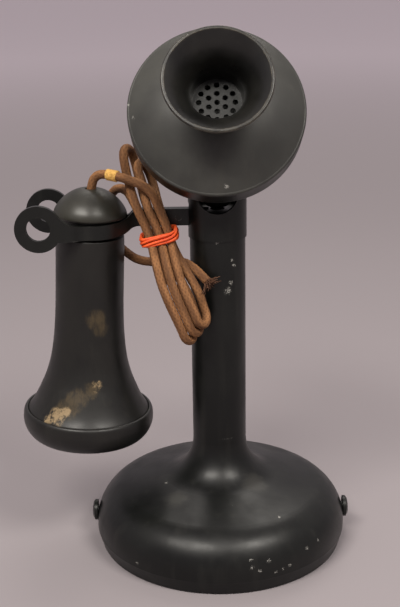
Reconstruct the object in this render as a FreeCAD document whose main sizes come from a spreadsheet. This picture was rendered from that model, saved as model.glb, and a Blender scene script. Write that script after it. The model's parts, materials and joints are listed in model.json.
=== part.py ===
import FreeCAD, Part
import Sketcher
import math
import os
from types import SimpleNamespace

from FreeCAD import Placement, Rotation, Vector

# An antique candlestick telephone: a weighted domed base, a column, a tilting transmitter and a
# receiver that hangs by its neck in a forked hook lever. Millimetres, +Z up. The origin is the
# centre of the foot, the mouthpiece looks along -Y and the hook lever points along -X.

DRIVING_SIZES = {
    # base
    "foot_radius": 68.3, "base_radius": 70.3, "rim_lift": 0.8, "foot_height": 8.0, "wall_top": 11.0,
    "shoulder_radius": 21.5, "flare_radius": 23.0, "base_wall": 2.0, "neck_top": 64.0,
    "felt_thick": 1.6, "plate_thick": 2.0, "weight_bore": 44.0, "weight_top": 20.0,
    "side_screw_height": 14.3, "side_screw_head": 5.9, "inlet_height": 10.0, "inlet_bore": 3.0,
    # column
    "column_radius": 14.8, "tube_bore": 12.8, "tube_top": 188.0, "collar_radius": 15.5,
    "collar_bottom": 176.0, "slot_half": 3.4, "slot_top": 194.5,
    "knuckle_radius": 12.0, "tilt_height": 203.0, "tilt_screw": 2.5,
    # hook lever
    "pivot_x": 3.0, "pivot_height": 180.0, "pin_radius": 2.0, "leaf_thick": 2.6,
    "arm_bottom": 182.2, "arm_top": 191.2, "band_bottom": 178.8, "band_top": 186.2,
    "ring_x": 92.0, "ring_height": 185.8, "ring_radius": 12.2, "ring_hole": 6.2,
    "prong_gap": 16.4, "ring_gap": 20.0, "cam_bottom": 153.0, "tail_end": 160.0,
    # hook switch
    "pile_bottom": 98.0, "pile_top": 116.0, "spring_thick": 0.5, "spring_half": 3.0,
    # transmitter, along its own axis from the plane of the face rim
    "cup_radius": 45.0, "cup_depth": 19.5, "cup_wall": 1.6, "cup_side": 11.0, "cup_back": 35.5,
    "face_height": 12.5, "boss_radius": 17.5, "socket_radius": 14.6, "mouth_radius": 27.0,
    "mouth_reach": 39.0, "grille_radius": 12.5, "grille_seat": 8.6, "grille_hole": 1.4,
    "grille_inner_circle": 4.7, "grille_outer_circle": 9.0, "knuckle_drop": 28.9,
    "knuckle_back": 31.9, "look_up": 30.0,
    # receiver, along its own axis from the underside of its tail cap
    "receiver_x": 67.2, "seat_height": 187.6, "lean": 3.0, "tail_cap_radius": 19.5,
    "tail_cap_height": 15.5, "groove_radius": 15.5, "groove_length": 9.8, "neck_radius": 18.3,
    "bell_radius": 31.7, "bell_end": 106.5, "ear_radius": 35.9, "ear_end": 124.5, "ear_hole": 5.5,
    # cord
    "cord_radius": 2.4,
}

document = FreeCAD.newDocument("candlestick_telephone")
sheet = document.addObject("Spreadsheet::Sheet", "sizes")
for row, (alias, number) in enumerate(DRIVING_SIZES.items(), start=1):
    sheet.set("A%d" % row, alias)
    sheet.set("B%d" % row, str(number))
    sheet.setAlias("B%d" % row, alias)
document.recompute()


class Size:
    """A number together with the sheet expression that it comes from."""

    def __init__(self, number, text):
        self.number = float(number)
        self.text = text

    def __add__(self, other):
        return joined(self, "+", other, self.number + plain(other))

    def __sub__(self, other):
        return joined(self, "-", other, self.number - plain(other))

    def __mul__(self, other):
        return joined(self, "*", other, self.number * plain(other))

    def __neg__(self):
        return Size(-self.number, "(-1 * %s)" % self.text)

    __radd__ = __add__
    __rmul__ = __mul__


def plain(value):
    return value.number if isinstance(value, Size) else float(value)


def size_of(value):
    return value if isinstance(value, Size) else Size(value, "(%.6f)" % value)


def joined(left, sign, right, number):
    return Size(number, "(%s %s %s)" % (left.text, sign, size_of(right).text))


S = SimpleNamespace(**{alias: Size(number, "sizes." + alias) for alias, number in DRIVING_SIZES.items()})

# Places that pieces ride in: the stand, the tilted transmitter and the leaning receiver.

UP = math.radians(S.look_up.number)
STAND = Placement()
TRANSMITTER = Placement(
    Vector(0, S.knuckle_drop.number * math.sin(UP) - S.knuckle_back.number * math.cos(UP),
           S.tilt_height.number + S.knuckle_drop.number * math.cos(UP)
           + S.knuckle_back.number * math.sin(UP)),
    Rotation(Vector(1, 0, 0), 90 - S.look_up.number))
RECEIVER = Placement(
    Vector(-S.receiver_x.number, 0, S.seat_height.number),
    Rotation(Vector(0, 1, 0), S.lean.number))

sub_parts = []


def finished(part, label, place=STAND):
    """Names a finished sub-part and puts it in its place."""
    part.Label = label
    part.Placement = place
    sub_parts.append(part)
    return part


# Sketches whose every coordinate and radius is bound to the sheet.

def ccw(radius):
    return size_of(radius), 1


def cw(radius):
    return size_of(radius), -1


def arc_between(start, end, radius, turn):
    """The short arc from start to end that turns left (1) or right (-1)."""
    chord = end - start
    middle = (start + end) * 0.5
    left = Vector(-chord.y, chord.x, 0).normalize()
    centre = middle + left * (turn * math.sqrt(radius ** 2 - (chord.Length / 2) ** 2))
    first = math.atan2(start.y - centre.y, start.x - centre.x)
    last = math.atan2(end.y - centre.y, end.x - centre.x)
    circle = Part.Circle(centre, Vector(0, 0, 1), radius)
    return Part.ArcOfCircle(circle, first, last) if turn > 0 else Part.ArcOfCircle(circle, last, first)


def pinned(geometry, point, x, y):
    """Constraints that hold one point at the sizes x and y, each with the size that drives it."""
    held = []
    for kind, axis, size in (("DistanceX", -2, x), ("DistanceY", -1, y)):
        if size.number == 0:
            held.append((Sketcher.Constraint("PointOnObject", geometry, point, axis), None))
        else:
            held.append((Sketcher.Constraint(kind, -1, 1, geometry, point, size.number), size))
    return held


def constrain(sketch, held):
    numbers = sketch.addConstraint([constraint for constraint, size in held])
    for number, (constraint, size) in zip(numbers, held):
        if size is not None:
            sketch.setExpression("Constraints[%d]" % number, size.text)


def draw_outline(sketch, vertices):
    """A closed outline; a vertex is (x, y), or (x, y, arc) where an arc leads to the next one."""
    corners = [(size_of(vertex[0]), size_of(vertex[1])) for vertex in vertices]
    points = [Vector(x.number, y.number, 0) for x, y in corners]
    sides = []
    held = []
    for index, vertex in enumerate(vertices):
        start, end = points[index], points[(index + 1) % len(points)]
        if len(vertex) == 3:
            radius, turn = vertex[2]
            geometry = sketch.addGeometry(arc_between(start, end, radius.number, turn), False)
            held.append((Sketcher.Constraint("Radius", geometry, radius.number), radius))
            sides.append((geometry, 1, 2) if turn > 0 else (geometry, 2, 1))
        else:
            sides.append((sketch.addGeometry(Part.LineSegment(start, end), False), 1, 2))
    for index, (geometry, first, last) in enumerate(sides):
        following = sides[(index + 1) % len(sides)]
        held.append((Sketcher.Constraint("Coincident", geometry, last, following[0], following[1]), None))
        held.extend(pinned(geometry, first, *corners[index]))
    constrain(sketch, held)


def draw_circle(sketch, x, y, radius):
    x, y, radius = size_of(x), size_of(y), size_of(radius)
    circle = Part.Circle(Vector(x.number, y.number, 0), Vector(0, 0, 1), radius.number)
    geometry = sketch.addGeometry(circle, False)
    held = [(Sketcher.Constraint("Radius", geometry, radius.number), radius)]
    constrain(sketch, held + pinned(geometry, 3, x, y))


def new_body(name):
    return document.addObject("PartDesign::Body", name + "_body")


def new_sketch(body, plane, offset=0):
    sketch = body.newObject("Sketcher::SketchObject", body.Name + "_sketch")
    support = next(item for item in body.Origin.OriginFeatures if item.Role == plane)
    sketch.AttachmentSupport = [(support, "")]
    sketch.MapMode = "FlatFace"
    offset = size_of(offset)
    sketch.AttachmentOffset = Placement(Vector(0, 0, offset.number), Rotation())
    sketch.setExpression("AttachmentOffset.Base.z", offset.text)
    return sketch


def turned_body(name, vertices):
    """A body turned about its own Z axis from an outline of (radius, height) vertices."""
    body = new_body(name)
    sketch = new_sketch(body, "XZ_Plane")
    draw_outline(sketch, vertices)
    turning = body.newObject("PartDesign::Revolution", name + "_turning")
    turning.Profile = sketch
    turning.ReferenceAxis = (sketch, ["V_Axis"])
    turning.Angle = 360
    return body


def padded_body(name, plane, vertices, thickness, offset=0, symmetric=False):
    """A body padded from an outline on one of its origin planes."""
    body = new_body(name)
    sketch = new_sketch(body, plane, offset)
    draw_outline(sketch, vertices)
    pad = body.newObject("PartDesign::Pad", name + "_pad")
    pad.Profile = sketch
    pad.SideType = "Symmetric" if symmetric else "One side"
    pad.setExpression("Length", size_of(thickness).text)
    return body


def cut_pocket(body, plane, shape, offset=0, depth=None, reverse=False):
    """Cuts a pocket: through everything, or to a depth. The shape is an outline or (x, y, radius)."""
    document.recompute()
    before = body.Shape.Volume
    sketch = new_sketch(body, plane, offset)
    if isinstance(shape, tuple):
        draw_circle(sketch, *shape)
    else:
        draw_outline(sketch, shape)
    pocket = body.newObject("PartDesign::Pocket", body.Name + "_pocket")
    pocket.Profile = sketch
    if depth is None:
        pocket.Type = "ThroughAll"
        pocket.SideType = "Symmetric"
    else:
        pocket.setExpression("Length", size_of(depth).text)
        pocket.Reversed = reverse
    document.recompute()
    if body.Shape.Volume > before - 1e-3:
        raise RuntimeError("a pocket of %s cuts nothing" % body.Name)
    return pocket


def cut_pocket_ring(body, plane, circle, count, offset=0):
    """Cuts one round pocket and repeats it round the Z axis of the body."""
    pocket = cut_pocket(body, plane, circle, offset)
    pattern = body.newObject("PartDesign::PolarPattern", body.Name + "_pattern")
    pattern.Originals = [pocket]
    axis = next(item for item in body.Origin.OriginFeatures if item.Role == "Z_Axis")
    pattern.Axis = (axis, [""])
    pattern.Angle = 360
    pattern.Occurrences = count
    body.Tip = pattern


def rectangle(left, bottom, right, top):
    return [(left, bottom), (right, bottom), (right, top), (left, top)]


def rounded_rectangle(left, bottom, right, top, bend):
    return [
        (left + bend, bottom), (right - bend, bottom, ccw(bend)), (right, bottom + bend),
        (right, top - bend, ccw(bend)), (right - bend, top), (left + bend, top, ccw(bend)),
        (left, top - bend), (left, bottom + bend, ccw(bend))]


def cylinder(radius, length, at, along=Vector(0, 0, 1)):
    """A round bar from a point, for fasteners and booleans."""
    bar = document.addObject("Part::Cylinder", "bar")
    bar.setExpression("Radius", size_of(radius).text)
    bar.setExpression("Height", size_of(length).text)
    bar.Placement = Placement(at, Rotation(Vector(0, 0, 1), along))
    return bar


def fused(*pieces):
    union = document.addObject("Part::MultiFuse", "union")
    union.Shapes = list(pieces)
    return union


def without(base, *tools):
    cut = document.addObject("Part::Cut", "cut")
    cut.Base = base
    cut.Tool = tools[0] if len(tools) == 1 else fused(*tools)
    return cut


def group(*pieces):
    """Separate solids that share one node."""
    collection = document.addObject("Part::Compound", "group")
    collection.Links = list(pieces)
    return collection


X_AXIS, Y_AXIS, Z_AXIS = Vector(1, 0, 0), Vector(0, 1, 0), Vector(0, 0, 1)


def slotted_screw(name, head_radius, head_height, shank_radius, shank_length):
    """A screw along +Z whose head stands on its origin plane, with a domed edge and a slot."""
    screw = turned_body(name, [
        (0, -shank_length), (shank_radius, -shank_length), (shank_radius, 0), (head_radius, 0),
        (head_radius, head_height * 0.6, ccw(head_radius * 2)), (head_radius * 0.7, head_height),
        (0, head_height)])
    slot = rectangle(-head_radius - 1, -head_radius * 0.12, head_radius + 1, head_radius * 0.12)
    cut_pocket(screw, "XY_Plane", slot, head_height * 0.5, head_height, True)
    return screw


def moved_copy(source, place):
    copy = document.addObject("Part::Compound", source.Name + "_copy")
    copy.Links = [source]
    copy.Placement = place
    return copy


# Base: a thin domed shell over an iron ring, closed by a plate with a felt.

CONE_SINE, CONE_COSINE = math.sin(math.radians(15)), math.cos(math.radians(15))
CONE_SLOPE = CONE_SINE / CONE_COSINE
FLARE_RUN = math.tan(math.radians(37.5))


def base_shell():
    shoulder_x = S.base_radius - S.shoulder_radius
    cone_x = shoulder_x + S.shoulder_radius * CONE_SINE
    cone_z = S.wall_top + S.shoulder_radius * CONE_COSINE
    corner_z = cone_z + (cone_x - S.column_radius) * CONE_SLOPE
    flare_x = S.column_radius + S.flare_radius * (FLARE_RUN * CONE_COSINE)
    flare_z = corner_z - S.flare_radius * (FLARE_RUN * CONE_SINE)
    flare_top = corner_z + S.flare_radius * FLARE_RUN
    in_x, in_z = S.base_wall * -CONE_SINE, S.base_wall * -CONE_COSINE
    socket_bottom = flare_top - 14
    shell = turned_body("base_shell", [
        (S.foot_radius, S.rim_lift), (S.base_radius, S.foot_height),
        (S.base_radius, S.wall_top, ccw(S.shoulder_radius)), (cone_x, cone_z),
        (flare_x, flare_z, cw(S.flare_radius)), (S.column_radius, flare_top),
        (S.column_radius, S.neck_top), (S.tube_bore, S.neck_top), (S.tube_bore, socket_bottom),
        (flare_x + in_x, flare_z + in_z),
        (cone_x + in_x, cone_z + in_z, cw(S.shoulder_radius - S.base_wall)),
        (S.base_radius - S.base_wall, S.wall_top), (S.base_radius - S.base_wall, S.foot_height),
        (S.foot_radius - S.base_wall, S.rim_lift)])
    cut_pocket(shell, "YZ_Plane", (0, S.side_screw_height, 2.6))
    cut_pocket(shell, "XZ_Plane", (0, S.inlet_height, 5.05), -60, 30, False)
    return finished(shell, "base_shell")


def base_bottom():
    plate_top = S.felt_thick + S.plate_thick
    felt = turned_body("base_felt", rectangle(0, 0, S.foot_radius - 2.6, S.felt_thick))
    finished(felt, "base_felt")
    plate = turned_body("base_plate", rectangle(0, S.felt_thick, S.foot_radius - 2.1, plate_top))
    cut_pocket_ring(plate, "XY_Plane", (0, -55, 2.1), 3)
    finished(plate, "base_plate")
    weight = turned_body("base_weight", [
        (S.weight_bore, plate_top), (S.foot_radius - 1.8, plate_top),
        (S.base_radius - 2.6, S.foot_height), (S.base_radius - 2.6, S.wall_top),
        (S.base_radius - 6.8, S.weight_top), (S.weight_bore, S.weight_top)])
    cut_pocket(weight, "YZ_Plane", (0, S.side_screw_height, 2.52))
    cut_pocket(weight, "XZ_Plane", rectangle(-7.5, plate_top - 1, 7.5, S.weight_top + 1), -40, 40, False)
    cut_pocket_ring(weight, "XY_Plane", (0, -55, 1.6), 3)
    finished(weight, "base_weight")
    screw = turned_body("plate_screw", [
        (0, S.felt_thick), (2.0, S.felt_thick), (2.0, plate_top), (1.55, plate_top), (1.55, 12), (0, 12)])
    spots = [Vector(55 * math.sin(turn), -55 * math.cos(turn), 0)
             for turn in (0, math.tau / 3, 2 * math.tau / 3)]
    finished(group(*[moved_copy(screw, Placement(spot, Rotation())) for spot in spots]), "plate_screws")


def base_side_screws():
    screw = slotted_screw("side_screw", S.side_screw_head, 2.6, 2.5, 11)
    sides = []
    for side in (1, -1):
        spot = Vector(side * (S.base_radius.number + 0.05), 0, S.side_screw_height.number)
        sides.append(moved_copy(screw, Placement(spot, Rotation(Z_AXIS, Vector(side, 0, 0)))))
    return finished(group(*sides), "base_side_screws")


def base_terminals():
    bottom = S.felt_thick + S.plate_thick
    block = padded_body("terminal_block", "XY_Plane", rectangle(-24, 12, 24, 28), 8, bottom)
    columns = [-16.5, -5.5, 5.5, 16.5]
    for x in columns:
        cut_pocket(block, "XY_Plane", (x, 20, 1.55))
    finished(block, "terminal_block")
    screw = slotted_screw("terminal_screw", 3.2, 2.2, 1.5, 6)
    height = bottom.number + 8
    copies = [moved_copy(screw, Placement(Vector(x, 20, height), Rotation())) for x in columns]
    return finished(group(*copies), "terminal_screws")


def cord_bush():
    bush = turned_body("cord_bush", [
        (S.inlet_bore, -10.3), (5.0, -10.3), (5.0, 0), (7.2, 0), (6.6, 1.6, cw(3)), (S.inlet_bore + 0.6, 1.6),
        (S.inlet_bore, 1.0)])
    spot = Vector(0, S.base_radius.number + 0.05, S.inlet_height.number)
    return finished(bush, "cord_bush", Placement(spot, Rotation(Z_AXIS, Y_AXIS)))


# Column: a tube on a sleeve, with a head whose two ears hold the transmitter's knuckle.

SLOT_CUT = (-4.5, 15)
SLEEVE_BORE, SLEEVE_BOTTOM, SLEEVE_TOP = 10.6, 47, 84


def lever_slot(top):
    """The window that the hook lever comes out of, in the wall on its side of the column."""
    return rectangle(-S.slot_half, S.arm_bottom - 0.6, S.slot_half, top)


def column():
    tube = turned_body("column_tube", rectangle(S.tube_bore, S.neck_top, S.column_radius, S.tube_top))
    cut_pocket(tube, "YZ_Plane", lever_slot(S.tube_top + 1), *SLOT_CUT)
    cut_pocket(tube, "XZ_Plane", (S.pivot_x, S.pivot_height, S.pin_radius + 0.03))
    finished(tube, "column_tube")
    section = rectangle(SLEEVE_BORE, SLEEVE_BOTTOM, S.tube_bore - 0.03, SLEEVE_TOP)
    finished(turned_body("column_sleeve", section), "column_sleeve")


def column_head():
    ear_top = S.tilt_height + 10.6
    floor_top = S.tilt_height - S.knuckle_radius - 0.4
    notch, ear, ear_inside, cord_hole, clear = 11.2, 10.6, 12.6, 4, 18
    notch_centre = floor_top + notch
    fit = S.column_radius + 0.03
    head = turned_body("column_head", [
        (fit, S.collar_bottom), (S.collar_radius, S.collar_bottom), (S.collar_radius, ear_top),
        (ear_inside, ear_top), (ear_inside, floor_top), (cord_hole, floor_top),
        (cord_hole, S.tube_top), (fit, S.tube_top)])
    cut_pocket(head, "XZ_Plane", [
        (-notch, notch_centre, ccw(notch + 0.001)), (notch, notch_centre),
        (notch, ear_top + 2), (-notch, ear_top + 2)])
    cut_pocket(head, "YZ_Plane", [
        (ear, S.tilt_height, ccw(ear + 0.001)), (-ear, S.tilt_height), (-clear, S.tilt_height),
        (-clear, ear_top + 2), (clear, ear_top + 2), (clear, S.tilt_height)])
    cut_pocket(head, "YZ_Plane", lever_slot(S.slot_top), *SLOT_CUT)
    cut_pocket(head, "YZ_Plane", (0, S.tilt_height, S.tilt_screw + 0.03))
    return finished(head, "column_head")


def tilt_screw_and_nut():
    reach = S.collar_radius.number
    screw = slotted_screw("tilt_screw", 4.2, 1.2, S.tilt_screw, 2 * S.collar_radius + 1.8)
    place = Placement(Vector(reach + 0.02, 0, S.tilt_height.number), Rotation(Z_AXIS, X_AXIS))
    finished(screw, "tilt_screw", place)
    nut = turned_body("tilt_nut", rectangle(S.tilt_screw + 0.03, 0, 4.6, 1.7))
    place = Placement(Vector(-reach - 0.02, 0, S.tilt_height.number), Rotation(Z_AXIS, -X_AXIS))
    finished(nut, "tilt_nut", place)


# Hook lever: two stamped leaves back to back, bowed round the receiver's neck, with ring ends
# outside the column and a tail that works the switch inside it.

RIVET_PLACES = (-20.5, -34.5)
RIVET_RADIUS = 1.8


def leaf_plan():
    """The strip that the front leaf follows, seen from above, from its tail out to its ring."""
    thick = S.leaf_thick
    gap, outer_gap = -S.prong_gap, -S.prong_gap - S.leaf_thick
    tip, outer_tip = -S.ring_gap, -S.ring_gap - S.leaf_thick
    return [
        (10, 0), (10, -thick), (-40, -thick, ccw(10.7)), (-48.5, -thick - 4.2),
        (-53.4, outer_gap + 5.8, cw(14.8)), (-65.2, outer_gap), (-68.5, outer_gap, ccw(6.4)),
        (-72.61, outer_gap - 1.5, cw(9)), (-78.4, outer_tip), (-106, outer_tip),
        (-106, tip), (-78.4, tip, ccw(6.4)), (-74.29, gap - 2.1, cw(9)), (-68.5, gap),
        (-65.14, gap, ccw(12.2)), (-55.47, gap + 4.78), (-50.57, -thick * 2, cw(13.3)), (-40, 0)]


def leaf_side():
    """The outline of a leaf seen from the front."""
    ring, reach = S.ring_radius, -S.ring_x
    spread = math.radians(35)
    shoulder_x = reach + ring * math.cos(spread)
    rise = ring * math.sin(spread)
    hub = 5.5
    return [
        (-12, S.arm_top), (-41, S.arm_top, ccw(6.25)), (-46, (S.arm_top + S.band_top) * 0.5, cw(6.25)),
        (-51, S.band_top), (-69.3, S.band_top, cw(15.5)), (shoulder_x, S.ring_height + rise, ccw(ring)),
        (reach - ring, S.ring_height, ccw(ring)), (shoulder_x, S.ring_height - rise),
        (-51, S.band_bottom, ccw(6.8)), (-46.5, (S.arm_bottom + S.band_bottom) * 0.5, cw(6.8)),
        (-42, S.arm_bottom), (-13, S.arm_bottom), (-2.6, S.pivot_height - 2.4),
        (0.2, S.pivot_height - 9), (0.6, S.tail_end), (5.4, S.tail_end),
        (S.pivot_x + hub, S.pivot_height, ccw(hub)), (S.pivot_x, S.pivot_height + hub),
        (-6, S.pivot_height + 6.8)]


def hook_leaf(label, flip):
    """One leaf: the bent strip of the plan, trimmed to the side outline. flip mirrors it in y."""
    plan = [(vertex[0], size_of(vertex[1]) * flip) + tuple((arc[0], arc[1] * flip) for arc in vertex[2:])
            for vertex in leaf_plan()]
    strip = padded_body(label + "_strip", "XY_Plane", plan, 60, 148)
    profile = padded_body(label + "_profile", "XZ_Plane", leaf_side(), 60, 0, True)
    cut_pocket(profile, "XZ_Plane", (-S.ring_x, S.ring_height, S.ring_hole))
    cut_pocket(profile, "XZ_Plane", (S.pivot_x, S.pivot_height, S.pin_radius + 0.04))
    for x in RIVET_PLACES:
        cut_pocket(profile, "XZ_Plane", (x, (S.arm_top + S.arm_bottom) * 0.5, RIVET_RADIUS))
    leaf = document.addObject("Part::Common", label + "_leaf")
    leaf.Base = strip
    leaf.Tool = profile
    return finished(leaf, label)


def hook_fittings():
    middle = (S.arm_top.number + S.arm_bottom.number) / 2
    face = S.leaf_thick.number
    places = [Vector(x, face, middle) for x in RIVET_PLACES]
    rivets = [cylinder(RIVET_RADIUS, 2 * S.leaf_thick, place, -Y_AXIS) for place in places]
    finished(group(*rivets), "hook_rivets")
    nose, width = 2.4, 8
    left, right, nose_top = S.pivot_x - nose, S.pivot_x + nose, S.cam_bottom + nose
    cam = padded_body("switch_cam", "XZ_Plane", [
        (left, nose_top, ccw(nose + 0.001)), (right, nose_top), (right, S.tail_end), (left, S.tail_end)],
        width, 0, True)
    finished(cam, "switch_cam")


def lever_pivot():
    edge = S.pivot_x.number + S.pin_radius.number
    reach = math.sqrt(S.column_radius.number ** 2 - edge ** 2) - 0.1
    start = Vector(S.pivot_x.number, reach, S.pivot_height.number)
    finished(group(cylinder(S.pin_radius, 2 * reach, start, -Y_AXIS)), "lever_pivot_pin")
    inner, outer, radius = S.leaf_thick + 0.15, 10.6, 4.0
    spacer = turned_body("lever_spacer", rectangle(S.pin_radius + 0.03, inner, radius, outer))
    centre = Vector(S.pivot_x.number, 0, S.pivot_height.number)
    spacers = [moved_copy(spacer, Placement(centre, Rotation(Z_AXIS, side))) for side in (Y_AXIS, -Y_AXIS)]
    finished(group(*spacers), "lever_spacers")


# Hook switch: a pile of springs and insulators on a bracket inside the column.

def hook_switch():
    bottom, top = S.pile_bottom, S.pile_top
    thick, half = S.spring_thick, S.spring_half
    moving_left, moving_right = -0.2, 0.3
    slack = 0.15
    fixed_right = -2.4
    back_right = 6.4
    screw_heights = (102.5, 109.5)
    pile = 5.0

    def leaf(label, right, foot, tip):
        outline = rectangle(-half, foot, half, tip)
        return padded_body(label, "YZ_Plane", outline, thick, size_of(right) - thick)

    def drilled(blade):
        for height in screw_heights:
            cut_pocket(blade, "YZ_Plane", (0, height, 1.3))
        return blade

    finished(leaf("moving_contact_spring", moving_right, top - 3, S.tail_end - 0.6), "moving_contact_spring")
    finished(drilled(leaf("fixed_contact_spring", fixed_right, bottom, 152)), "fixed_contact_spring")
    finished(drilled(leaf("lever_return_spring", back_right, bottom, 158)), "lever_return_spring")
    layers = [(moving_right + slack, back_right - thick.number), (fixed_right, moving_left - slack),
              (fixed_right - thick.number - 2, fixed_right - thick.number)]
    insulators = []
    for number, (left, right) in enumerate(layers):
        outline = rectangle(-pile, bottom, pile, top)
        block = padded_body("insulator_%d" % number, "YZ_Plane", outline, right - left, left)
        insulators.append(drilled(block))
    finished(group(*insulators), "pile_insulators")
    gauge = 2
    foot_top, foot_reach, wire_hole = SLEEVE_TOP + gauge, 11.4, 3.5
    plate = padded_body("switch_bracket", "XZ_Plane", [
        (back_right, top), (back_right, foot_top), (-foot_reach, foot_top), (-foot_reach, SLEEVE_TOP),
        (foot_reach, SLEEVE_TOP), (foot_reach, foot_top), (back_right + gauge, foot_top),
        (back_right + gauge, top)], 2 * pile, 0, True)
    cut_pocket(plate, "XY_Plane", (-wire_hole, 0, wire_hole))
    finished(drilled(plate), "switch_bracket")
    head = fixed_right - thick.number - 2
    screw = slotted_screw("pile_screw", 2.2, 1.4, 1.25, back_right + gauge - head)
    copies = [moved_copy(screw, Placement(Vector(head, 0, height), Rotation(Z_AXIS, -X_AXIS)))
              for height in screw_heights]
    finished(group(*copies), "pile_screws")


# Transmitter, drawn along its own axis, which leaves the mouthpiece along +Z.

BRACKET_SCREWS = [(-6.5, -12.8), (6.5, -12.8), (-8.4, -21.4), (8.4, -21.4)]
FACE_SEAT = -1.6


def transmitter_cup():
    inner, back = S.cup_radius - S.cup_wall, -S.cup_depth
    cup = turned_body("transmitter_cup", [
        (S.cup_radius, FACE_SEAT), (S.cup_radius, -S.cup_side, cw(9.2)), (S.cup_back, back), (4, back),
        (4, back + S.cup_wall), (S.cup_back, back + S.cup_wall, ccw(7.6)), (inner, -S.cup_side),
        (inner, FACE_SEAT)])
    for x, y in BRACKET_SCREWS:
        cut_pocket(cup, "XY_Plane", (x, y, 1.3), back + 4, 8)
    return finished(cup, "transmitter_cup", TRANSMITTER)


def faceplate():
    rim, boss, socket = S.cup_radius + 0.2, S.boss_radius, S.socket_radius
    boss_top = S.face_height + 1.4
    skirt, socket_foot, crown = 38.5, 6.2, 90
    face = turned_body("faceplate", [
        (skirt, FACE_SEAT), (rim, FACE_SEAT), (rim, -0.5, ccw(1.1)), (rim - 1.1, 0.6, ccw(crown)),
        (boss, S.face_height), (boss, boss_top), (socket, boss_top), (socket, socket_foot),
        (boss - 1.2, socket_foot), (boss - 1.2, S.face_height - 2.2, cw(crown)), (skirt, -0.4)])
    return finished(face, "faceplate", TRANSMITTER)


def mouthpiece():
    spigot = S.socket_radius - 0.05
    shoulder = S.face_height + 1.45
    foot, throat, seat = 6.4, 10.8, S.grille_radius + 0.05
    bead = S.boss_radius + 0.4
    rim, reach = S.mouth_radius, S.mouth_reach
    horn = turned_body("mouthpiece", [
        (throat, foot), (spigot, foot), (spigot, shoulder), (bead, shoulder),
        (bead, shoulder + 1.6, ccw(1.2)), (bead - 1.0, shoulder + 2.4),
        (bead - 2.3, shoulder + 3.2, cw(24)), (rim - 0.9, reach - 1.6), (rim, reach - 0.9, ccw(0.9)),
        (rim - 1.0, reach), (rim - 1.6, reach, ccw(26)), (13.2, shoulder + 3.4), (seat, 12),
        (seat, S.grille_seat), (throat, S.grille_seat)])
    return finished(horn, "mouthpiece", TRANSMITTER)


def mouthpiece_grille():
    top = S.grille_seat + 1.2
    disc = turned_body("mouthpiece_grille", rectangle(0, S.grille_seat, S.grille_radius, top))
    cut_pocket(disc, "XY_Plane", (0, 0, S.grille_hole))
    cut_pocket_ring(disc, "XY_Plane", (0, S.grille_inner_circle, S.grille_hole), 6)
    cut_pocket_ring(disc, "XY_Plane", (0, S.grille_outer_circle, S.grille_hole), 12)
    return finished(disc, "mouthpiece_grille", TRANSMITTER)


def transmitter_works():
    diaphragm_back = FACE_SEAT - 0.6
    gasket_back = diaphragm_back - 1.4
    finished(turned_body("transmitter_diaphragm", rectangle(0, diaphragm_back, 41.2, FACE_SEAT)),
             "transmitter_diaphragm", TRANSMITTER)
    finished(turned_body("diaphragm_gasket", rectangle(37, gasket_back, 42.6, diaphragm_back)),
             "diaphragm_gasket", TRANSMITTER)
    bar_top, bar_bottom = -6.0, -8.5
    bridge = padded_body("bridge", "XZ_Plane", [
        (-41.5, bar_bottom), (41.5, bar_bottom), (41.5, gasket_back), (37.5, gasket_back), (37.5, bar_top),
        (-37.5, bar_top), (-37.5, gasket_back), (-41.5, gasket_back)], 12, 0, True)
    cut_pocket(bridge, "XY_Plane", (0, 0, 2.25))
    finished(bridge, "transmitter_bridge", TRANSMITTER)
    button = turned_body("carbon_button", [
        (0, diaphragm_back), (5, diaphragm_back), (5, -3.2), (9.5, -3.2), (9.5, bar_top), (2.2, bar_top),
        (2.2, -14), (0, -14)])
    finished(button, "carbon_button", TRANSMITTER)
    nut = turned_body("button_nut", rectangle(2.23, -11.2, 4.6, bar_bottom))
    finished(nut, "button_nut", TRANSMITTER)


def transmitter_bracket():
    centre = Vector(0, -S.knuckle_drop.number, -S.knuckle_back.number)
    knuckle = document.addObject("Part::Sphere", "knuckle")
    knuckle.setExpression("Radius", S.knuckle_radius.text)
    knuckle.Placement = Placement(centre, Rotation())
    half, low, high, corner, thick = 10.5, -35.0, -8.5, 6.0, 3.0
    outline = rounded_rectangle(-half, low, half, high, corner)
    flange = padded_body("flange", "XY_Plane", outline, thick, -S.cup_depth - thick)
    bore = cylinder(S.tilt_screw + 0.03, 40, centre - Vector(20, 0, 0), X_AXIS)
    behind = -S.cup_depth.number - thick
    holes = [cylinder(1.3, 6, Vector(x, y, behind - 1)) for x, y in BRACKET_SCREWS]
    front = document.addObject("Part::Box", "cup_side")
    front.Length, front.Width, front.Height = 60, 60, 20
    front.Placement = Placement(Vector(-30, -60, -S.cup_depth.number), Rotation())
    bracket = without(fused(knuckle, flange), bore, front, *holes)
    finished(bracket, "transmitter_bracket", TRANSMITTER)
    screw = slotted_screw("bracket_screw", 1.9, 1.3, 1.25, 5)
    turned_back = Rotation(X_AXIS, 180)
    copies = [moved_copy(screw, Placement(Vector(x, y, behind), turned_back)) for x, y in BRACKET_SCREWS]
    finished(group(*copies), "bracket_screws", TRANSMITTER)


# Receiver, drawn along its own axis with its ear cap down.

PLUG_RADIUS, PLUG_TOP = 12.0, 10.0
BELL_BORE_TOP, BELL_BORE_END = (17.0, -80.0), (27.9, -102.0)
RIM_RADIUS, RIM_DEPTH = 30.5, 5.5


def bell_bore(height):
    """The radius inside the shell's cone at a height."""
    share = (height - BELL_BORE_TOP[1]) / (BELL_BORE_END[1] - BELL_BORE_TOP[1])
    return BELL_BORE_TOP[0] + share * (BELL_BORE_END[0] - BELL_BORE_TOP[0])


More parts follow.
